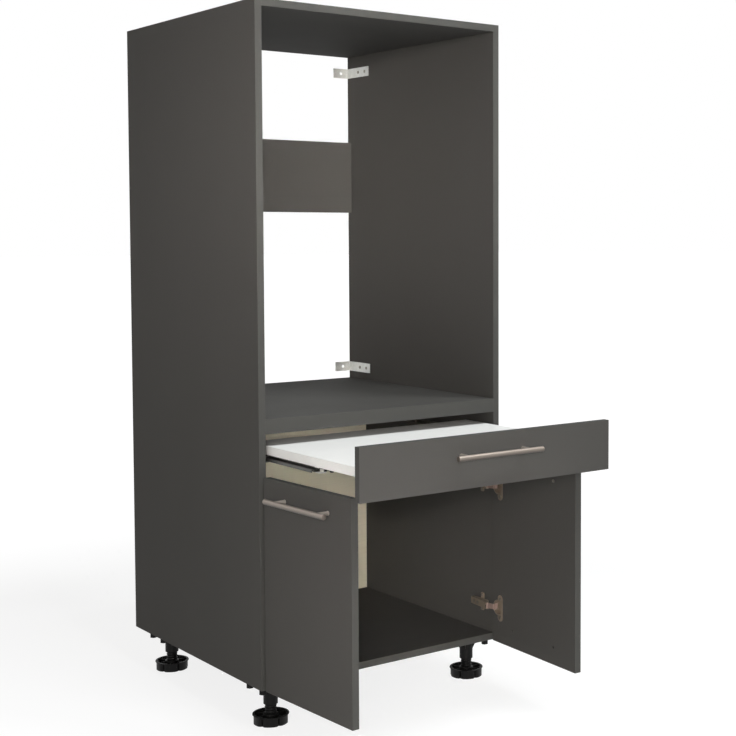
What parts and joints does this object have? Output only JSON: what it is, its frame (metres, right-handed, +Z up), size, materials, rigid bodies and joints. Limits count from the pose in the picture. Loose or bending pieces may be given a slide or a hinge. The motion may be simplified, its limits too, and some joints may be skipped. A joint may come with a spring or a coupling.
{
  "type": "washing machine cabinet",
  "caption": "Tall graphite cabinet on levelling feet: open appliance bay over a full-width pull-out shelf and a cupboard with hinged doors and bar handles.",
  "frame": {"origin": "on the floor, under the middle of the whole outline with the shelf out and the doors open", "axes": "+X to the right seen from the front, +Y from front to back, +Z up"},
  "size_m": [0.7026, 1.078, 1.575],
  "materials": {
    "graphite_board": "graphite melamine-faced board, satin",
    "white_board": "white melamine-faced board, satin",
    "back_board": "thin white lacquered fibreboard",
    "nickel": "brushed nickel",
    "zinc": "zinc-plated sheet steel",
    "rail_steel": "dark zinc-plated sheet steel",
    "screw_steel": "zinc-plated steel",
    "black_plastic": "black moulded plastic",
    "white_plastic": "white moulded plastic"
  },
  "bodies": {
    "carcass": {"left_side_panel": "graphite_board", "right_side_panel": "graphite_board", "top_panel": "graphite_board", "appliance_floor": "graphite_board", "bottom_panel": "graphite_board", "rear_rail": "graphite_board", "lower_back": "back_board", "left_lower_wall_bracket": "zinc", "right_lower_wall_bracket": "zinc", "left_upper_wall_bracket": "zinc", "right_upper_wall_bracket": "zinc", "bracket_screws": "screw_steel", "left_front_foot_socket": "black_plastic", "right_front_foot_socket": "black_plastic", "left_back_foot_socket": "black_plastic", "right_back_foot_socket": "black_plastic", "foot_screws": "screw_steel", "left_cabinet_rail": "rail_steel", "right_cabinet_rail": "rail_steel", "slide_screws": "screw_steel", "hinge_plates": "nickel", "left_hinge_arms": "nickel", "right_hinge_arms": "nickel", "arm_pins": "screw_steel", "hinge_screws": "screw_steel"},
    "shelf": {"shelf_front": "graphite_board", "shelf_board": "white_board", "shelf_handle_bar": "nickel", "shelf_handle_posts": "nickel", "shelf_handle_screws": "screw_steel", "left_shelf_rail": "rail_steel", "right_shelf_rail": "rail_steel", "left_shelf_clip": "white_plastic", "right_shelf_clip": "white_plastic"},
    "left_door": {"left_door": "graphite_board", "left_door_handle_bar": "nickel", "left_door_handle_posts": "nickel", "left_door_handle_screws": "screw_steel", "left_hinge_cups": "nickel", "left_cup_pins": "screw_steel", "left_cup_screws": "screw_steel"},
    "left_links": {"left_hinge_links": "nickel"},
    "left_middle_rail": {"left_middle_rail": "rail_steel", "left_rail_glides": "white_plastic"},
    "right_door": {"right_door": "graphite_board", "right_door_handle_bar": "nickel", "right_door_handle_posts": "nickel", "right_door_handle_screws": "screw_steel", "right_hinge_cups": "nickel", "right_cup_pins": "screw_steel", "right_cup_screws": "screw_steel"},
    "right_links": {"right_hinge_links": "nickel"},
    "right_middle_rail": {"right_middle_rail": "rail_steel", "right_rail_glides": "white_plastic"},
    "left_front_foot": {"left_front_foot": "black_plastic"},
    "right_front_foot": {"right_front_foot": "black_plastic"},
    "left_back_foot": {"left_back_foot": "black_plastic"},
    "right_back_foot": {"right_back_foot": "black_plastic"}
  },
  "joints": [
    {"name": "shelf_slide", "type": "slide", "parent": "carcass", "child": "shelf", "axis": [0, -1, 0], "range_m": [-0.375, 0.045]},
    {"name": "left_middle_slide", "type": "slide", "parent": "carcass", "child": "left_middle_rail", "axis": [0, -1, 0], "range_m": [-0.1876, 0.0226]},
    {"name": "left_link_turn", "type": "hinge", "parent": "carcass", "child": "left_links", "pos_m": [-0.29207, -0.10514, 0.327], "axis": [0, 0, 1], "range_deg": [-31.42, 4.78]},
    {"name": "left_door_swing", "type": "hinge", "parent": "left_links", "child": "left_door", "pos_m": [-0.30499, -0.12513, 0.327], "axis": [0, 0, 1], "range_deg": [-17.68, 118.32]},
    {"name": "right_middle_slide", "type": "slide", "parent": "carcass", "child": "right_middle_rail", "axis": [0, -1, 0], "range_m": [-0.1876, 0.0226]},
    {"name": "right_link_turn", "type": "hinge", "parent": "carcass", "child": "right_links", "pos_m": [0.29207, -0.10514, 0.327], "axis": [0, 0, -1], "range_deg": [-31.42, 4.78]},
    {"name": "right_door_swing", "type": "hinge", "parent": "right_links", "child": "right_door", "pos_m": [0.30499, -0.12513, 0.327], "axis": [0, 0, -1], "range_deg": [-17.68, 118.32]},
    {"name": "left_front_foot_turn", "type": "hinge", "parent": "carcass", "child": "left_front_foot", "pos_m": [-0.27, -0.049, 0], "axis": [0, 0, 1], "continuous": true},
    {"name": "right_front_foot_turn", "type": "hinge", "parent": "carcass", "child": "right_front_foot", "pos_m": [0.27, -0.049, 0], "axis": [0, 0, 1], "continuous": true},
    {"name": "left_back_foot_turn", "type": "hinge", "parent": "carcass", "child": "left_back_foot", "pos_m": [-0.27, 0.451, 0], "axis": [0, 0, 1], "continuous": true},
    {"name": "right_back_foot_turn", "type": "hinge", "parent": "carcass", "child": "right_back_foot", "pos_m": [0.27, 0.451, 0], "axis": [0, 0, 1], "continuous": true}
  ],
  "couplings": [
    {"joint": "left_middle_slide", "follows": "shelf_slide", "ratio": 0.5},
    {"joint": "left_link_turn", "follows": "left_door_swing", "ratio": -0.26471},
    {"joint": "right_middle_slide", "follows": "shelf_slide", "ratio": 0.5},
    {"joint": "right_link_turn", "follows": "right_door_swing", "ratio": -0.26471}
  ]
}
